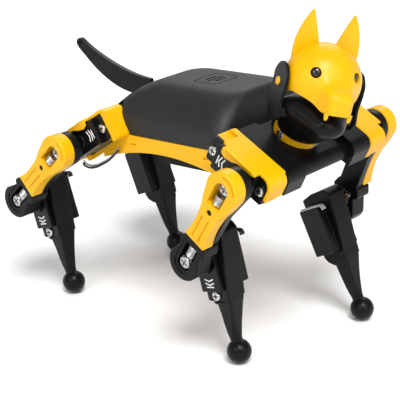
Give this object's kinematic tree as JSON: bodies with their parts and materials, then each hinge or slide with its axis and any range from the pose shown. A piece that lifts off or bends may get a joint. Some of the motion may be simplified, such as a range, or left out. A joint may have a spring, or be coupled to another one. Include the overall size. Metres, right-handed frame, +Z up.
{
  "type": "quadruped robot dog",
  "caption": "Palm-size walking robot dog: arched torso with clip-on back cover, panning head, whip tail and two-servo legs with sprung servo arms.",
  "frame": {"origin": "on the ground below the middle of the robot's overall length and width", "axes": "+X forward towards the head, +Y to the robot's left, +Z up"},
  "size_m": [0.1785, 0.114, 0.1587],
  "materials": {
    "yellow_plastic": "satin moulded",
    "black_plastic": "satin moulded",
    "cover_black": "fine matt texture",
    "servo_black": "semi-gloss",
    "arm_metal": "machined",
    "spring_steel": "polished wire",
    "screw_steel": "plated",
    "circuit_green": "solder mask",
    "lead_red": "silicone",
    "lead_black": "silicone",
    "lead_grey": "ribbon",
    "button_grey": "satin",
    "eye_black": "gloss"
  },
  "bodies": {
    "torso": {"body_frame": "yellow_plastic", "back_cover": "cover_black", "chest_cover": "black_plastic", "controller_board": "circuit_green", "battery_pack": "black_plastic", "battery_lead": "lead_red", "servo_leads": "lead_black", "neck_servo": "servo_black", "torso_screws": "screw_steel", "tail": "black_plastic", "hip_servo_fr": "servo_black", "hip_servo_fl": "servo_black", "hip_servo_rr": "servo_black", "hip_servo_rl": "servo_black"},
    "power_button": {"battery_button": "button_grey"},
    "head": {"neck_bracket": "yellow_plastic", "head_jaw": "black_plastic", "head_screws": "screw_steel"},
    "mask": {"head_mask": "yellow_plastic", "eyes": "eye_black"},
    "hip_arm_fr": {"hip_arm_fr": "arm_metal"},
    "thigh_fr": {"thigh_cover_fr": "yellow_plastic", "thigh_frame_fr": "black_plastic", "hip_spring_fr": "spring_steel", "knee_spring_fr": "spring_steel"},
    "knee_arm_fr": {"knee_arm_fr": "arm_metal"},
    "shank_fr": {"shank_fr": "black_plastic", "knee_servo_fr": "servo_black", "knee_lead_fr": "lead_grey", "leg_screws_fr": "screw_steel"},
    "hip_arm_fl": {"hip_arm_fl": "arm_metal"},
    "thigh_fl": {"thigh_cover_fl": "yellow_plastic", "thigh_frame_fl": "black_plastic", "hip_spring_fl": "spring_steel", "knee_spring_fl": "spring_steel"},
    "knee_arm_fl": {"knee_arm_fl": "arm_metal"},
    "shank_fl": {"shank_fl": "black_plastic", "knee_servo_fl": "servo_black", "knee_lead_fl": "lead_grey", "leg_screws_fl": "screw_steel"},
    "hip_arm_rr": {"hip_arm_rr": "arm_metal"},
    "thigh_rr": {"thigh_cover_rr": "yellow_plastic", "thigh_frame_rr": "black_plastic", "hip_spring_rr": "spring_steel", "knee_spring_rr": "spring_steel"},
    "knee_arm_rr": {"knee_arm_rr": "arm_metal"},
    "shank_rr": {"shank_rr": "black_plastic", "knee_servo_rr": "servo_black", "knee_lead_rr": "lead_grey", "leg_screws_rr": "screw_steel"},
    "hip_arm_rl": {"hip_arm_rl": "arm_metal"},
    "thigh_rl": {"thigh_cover_rl": "yellow_plastic", "thigh_frame_rl": "black_plastic", "hip_spring_rl": "spring_steel", "knee_spring_rl": "spring_steel"},
    "knee_arm_rl": {"knee_arm_rl": "arm_metal"},
    "shank_rl": {"shank_rl": "black_plastic", "knee_servo_rl": "servo_black", "knee_lead_rl": "lead_grey", "leg_screws_rl": "screw_steel"}
  },
  "joints": [
    {"name": "neck_pan", "type": "hinge", "parent": "torso", "child": "head", "pos_m": [0.05263, 0, 0.10379], "axis": [0.4352, 0, 0.9003], "range_deg": [-27, 93]},
    {"name": "mouth_open", "type": "hinge", "parent": "head", "child": "mask", "pos_m": [0.06357, -0.00036, 0.12515], "axis": [-0.4903, -0.8387, 0.237], "range_deg": [0, 18], "stiffness_Nm_per_rad": 0.02, "springref_deg": -20.05},
    {"name": "power_press", "type": "slide", "parent": "torso", "child": "power_button", "axis": [-0.0732, 0, 0.9973], "range_m": [0, 0.001], "stiffness_N_per_m": 400, "springref_m": -0.0005},
    {"name": "front_right_hip", "type": "hinge", "parent": "torso", "child": "hip_arm_fr", "pos_m": [0.05796, -0.05, 0.09265], "axis": [0, -1, 0], "range_deg": [-30, 50]},
    {"name": "front_right_hip_spring", "type": "slide", "parent": "hip_arm_fr", "child": "thigh_fr", "axis": [0.515, 0, 0.8572], "range_m": [0, 0.003], "stiffness_N_per_m": 900, "springref_m": -0.0025, "deforming": ["hip_spring_fr"]},
    {"name": "front_right_knee_spring", "type": "slide", "parent": "thigh_fr", "child": "knee_arm_fr", "axis": [0.515, 0, 0.8572], "range_m": [0, 0.003], "stiffness_N_per_m": 900, "springref_m": -0.0025, "deforming": ["knee_spring_fr"]},
    {"name": "front_right_knee", "type": "hinge", "parent": "knee_arm_fr", "child": "shank_fr", "pos_m": [0.03396, -0.05, 0.0527], "axis": [0, -1, 0], "range_deg": [-35, 55]},
    {"name": "front_left_hip", "type": "hinge", "parent": "torso", "child": "hip_arm_fl", "pos_m": [0.05796, 0.05, 0.09265], "axis": [0, -1, 0], "range_deg": [-30, 50]},
    {"name": "front_left_hip_spring", "type": "slide", "parent": "hip_arm_fl", "child": "thigh_fl", "axis": [0.342, 0, 0.9397], "range_m": [0, 0.003], "stiffness_N_per_m": 900, "springref_m": -0.0025, "deforming": ["hip_spring_fl"]},
    {"name": "front_left_knee_spring", "type": "slide", "parent": "thigh_fl", "child": "knee_arm_fl", "axis": [0.342, 0, 0.9397], "range_m": [0, 0.003], "stiffness_N_per_m": 900, "springref_m": -0.0025, "deforming": ["knee_spring_fl"]},
    {"name": "front_left_knee", "type": "hinge", "parent": "knee_arm_fl", "child": "shank_fl", "pos_m": [0.04202, 0.05, 0.04886], "axis": [0, -1, 0], "range_deg": [-35, 55]},
    {"name": "rear_right_hip", "type": "hinge", "parent": "torso", "child": "hip_arm_rr", "pos_m": [-0.04676, -0.05, 0.08496], "axis": [0, -1, 0], "range_deg": [-30, 50]},
    {"name": "rear_right_hip_spring", "type": "slide", "parent": "hip_arm_rr", "child": "thigh_rr", "axis": [0.7071, 0, 0.7071], "range_m": [0, 0.003], "stiffness_N_per_m": 900, "springref_m": -0.0025, "deforming": ["hip_spring_rr"]},
    {"name": "rear_right_knee_spring", "type": "slide", "parent": "thigh_rr", "child": "knee_arm_rr", "axis": [0.7071, 0, 0.7071], "range_m": [0, 0.003], "stiffness_N_per_m": 900, "springref_m": -0.0025, "deforming": ["knee_spring_rr"]},
    {"name": "rear_right_knee", "type": "hinge", "parent": "knee_arm_rr", "child": "shank_rr", "pos_m": [-0.07971, -0.05, 0.052], "axis": [0, -1, 0], "range_deg": [-35, 55]},
    {"name": "rear_left_hip", "type": "hinge", "parent": "torso", "child": "hip_arm_rl", "pos_m": [-0.04676, 0.05, 0.08496], "axis": [0, -1, 0], "range_deg": [-30, 50]},
    {"name": "rear_left_hip_spring", "type": "slide", "parent": "hip_arm_rl", "child": "thigh_rl", "axis": [0.6691, 0, 0.7431], "range_m": [0, 0.003], "stiffness_N_per_m": 900, "springref_m": -0.0025, "deforming": ["hip_spring_rl"]},
    {"name": "rear_left_knee_spring", "type": "slide", "parent": "thigh_rl", "child": "knee_arm_rl", "axis": [0.6691, 0, 0.7431], "range_m": [0, 0.003], "stiffness_N_per_m": 900, "springref_m": -0.0025, "deforming": ["knee_spring_rl"]},
    {"name": "rear_left_knee", "type": "hinge", "parent": "knee_arm_rl", "child": "shank_rl", "pos_m": [-0.07794, 0.05, 0.05032], "axis": [0, -1, 0], "range_deg": [-35, 55]}
  ]
}
